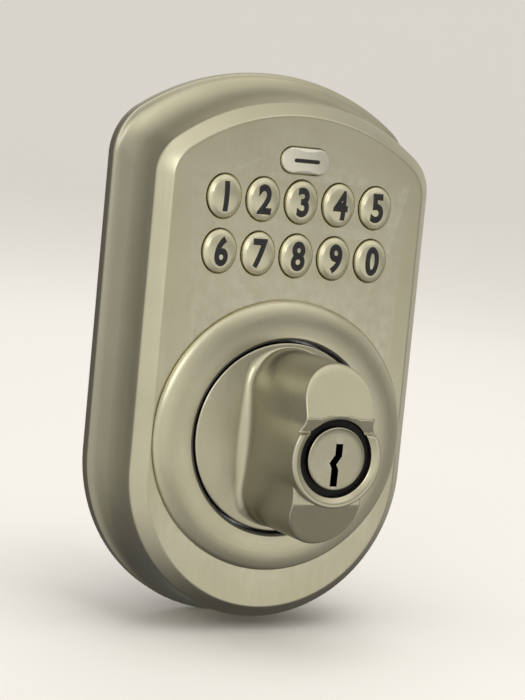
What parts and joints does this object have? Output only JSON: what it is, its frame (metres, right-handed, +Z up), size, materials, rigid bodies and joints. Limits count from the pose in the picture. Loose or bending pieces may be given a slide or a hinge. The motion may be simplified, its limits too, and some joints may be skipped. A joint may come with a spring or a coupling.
{
  "type": "keypad deadbolt lock, outside unit",
  "caption": "Keypad deadbolt lock, outside unit: arched satin nickel escutcheon with push keys, a start button, and a turn knob with a key cylinder in its end.",
  "frame": {"origin": "where the knob's axis meets the door's outside face", "axes": "+Y into the door along the knob's axis, +Z up, the keypad side faces -Y"},
  "size_m": [0.076, 0.111, 0.127],
  "materials": {
    "satin_nickel": "satin nickel plate on a die-cast body, very fine vertical brush",
    "key_metal": "bright satin nickel, smooth",
    "cylinder_nickel": "nickel plated brass, lightly brushed",
    "plated_steel": "bright zinc plated steel",
    "dark_steel": "spring steel, oiled",
    "brass": "turned brass",
    "black_rubber": "matt",
    "silicone": "matt translucent grey",
    "black_plastic": "moulded nylon",
    "ivory_plastic": "acetal",
    "board_green": "solder mask on glass board"
  },
  "bodies": {
    "root": {"escutcheon": "satin_nickel", "gasket": "black_rubber", "knob_bezel": "satin_nickel", "back_plate": "plated_steel", "back_plate_screws": "plated_steel", "mounting_posts": "plated_steel", "bore_collar": "black_plastic", "cable_grommet": "black_rubber", "chassis_plate": "plated_steel", "chassis_screws": "plated_steel", "knob_bushing": "ivory_plastic", "keypad_mat": "silicone", "switch_domes": "plated_steel", "keypad_board": "board_green", "board_screws": "plated_steel", "board_chips": "black_plastic", "board_connector": "ivory_plastic", "beeper": "black_plastic", "clutch_solenoid": "plated_steel"},
    "key_1": {"key_1": "key_metal"},
    "key_2": {"key_2": "key_metal"},
    "key_3": {"key_3": "key_metal"},
    "key_4": {"key_4": "key_metal"},
    "key_5": {"key_5": "key_metal"},
    "key_6": {"key_6": "key_metal"},
    "key_7": {"key_7": "key_metal"},
    "key_8": {"key_8": "key_metal"},
    "key_9": {"key_9": "key_metal"},
    "key_0": {"key_0": "key_metal"},
    "start_button": {"start_button": "key_metal"},
    "knob": {"turn_knob": "satin_nickel", "knob_clip": "dark_steel", "lock_cylinder": "brass", "driver_pins": "brass", "pin_springs": "dark_steel", "pin_cover": "brass"},
    "plug": {"key_plug": "cylinder_nickel", "key_pins": "brass", "plug_clip": "dark_steel", "plug_cam": "brass"},
    "drive": {"drive_hub": "brass", "tailpiece": "plated_steel"},
    "sleeve": {"clutch_sleeve": "plated_steel"},
    "shifter": {"shift_fork": "ivory_plastic", "solenoid_plunger": "plated_steel"}
  },
  "joints": [
    {"name": "key_1_press", "type": "slide", "parent": "root", "child": "key_1", "axis": [0, 1, 0], "range_m": [0, 0.0009], "stiffness_N_per_m": 900},
    {"name": "key_2_press", "type": "slide", "parent": "root", "child": "key_2", "axis": [0, 1, 0], "range_m": [0, 0.0009], "stiffness_N_per_m": 900},
    {"name": "key_3_press", "type": "slide", "parent": "root", "child": "key_3", "axis": [0, 1, 0], "range_m": [0, 0.0009], "stiffness_N_per_m": 900},
    {"name": "key_4_press", "type": "slide", "parent": "root", "child": "key_4", "axis": [0, 1, 0], "range_m": [0, 0.0009], "stiffness_N_per_m": 900},
    {"name": "key_5_press", "type": "slide", "parent": "root", "child": "key_5", "axis": [0, 1, 0], "range_m": [0, 0.0009], "stiffness_N_per_m": 900},
    {"name": "key_6_press", "type": "slide", "parent": "root", "child": "key_6", "axis": [0, 1, 0], "range_m": [0, 0.0009], "stiffness_N_per_m": 900},
    {"name": "key_7_press", "type": "slide", "parent": "root", "child": "key_7", "axis": [0, 1, 0], "range_m": [0, 0.0009], "stiffness_N_per_m": 900},
    {"name": "key_8_press", "type": "slide", "parent": "root", "child": "key_8", "axis": [0, 1, 0], "range_m": [0, 0.0009], "stiffness_N_per_m": 900},
    {"name": "key_9_press", "type": "slide", "parent": "root", "child": "key_9", "axis": [0, 1, 0], "range_m": [0, 0.0009], "stiffness_N_per_m": 900},
    {"name": "key_0_press", "type": "slide", "parent": "root", "child": "key_0", "axis": [0, 1, 0], "range_m": [0, 0.0009], "stiffness_N_per_m": 900},
    {"name": "start_button_press", "type": "slide", "parent": "root", "child": "start_button", "axis": [0, 1, 0], "range_m": [0, 0.0009], "stiffness_N_per_m": 900},
    {"name": "knob_turn", "type": "hinge", "parent": "root", "child": "knob", "pos_m": [0, 0, 0], "axis": [0, -1, 0], "range_deg": [-90, 90]},
    {"name": "key_turn", "type": "hinge", "parent": "knob", "child": "plug", "pos_m": [0, 0, 0], "axis": [0, -1, 0], "range_deg": [-90, 90]},
    {"name": "tailpiece_turn", "type": "hinge", "parent": "knob", "child": "drive", "pos_m": [0, 0, 0], "axis": [0, -1, 0], "range_deg": [-90, 90]},
    {"name": "clutch_shift", "type": "slide", "parent": "root", "child": "shifter", "axis": [0, 1, 0], "range_m": [0, 0.0022], "stiffness_N_per_m": 300},
    {"name": "sleeve_shift", "type": "slide", "parent": "knob", "child": "sleeve", "axis": [0, 1, 0], "range_m": [0, 0.0022]}
  ],
  "couplings": [
    {"joint": "tailpiece_turn", "follows": "key_turn", "ratio": 1},
    {"joint": "sleeve_shift", "follows": "clutch_shift", "ratio": 1}
  ]
}
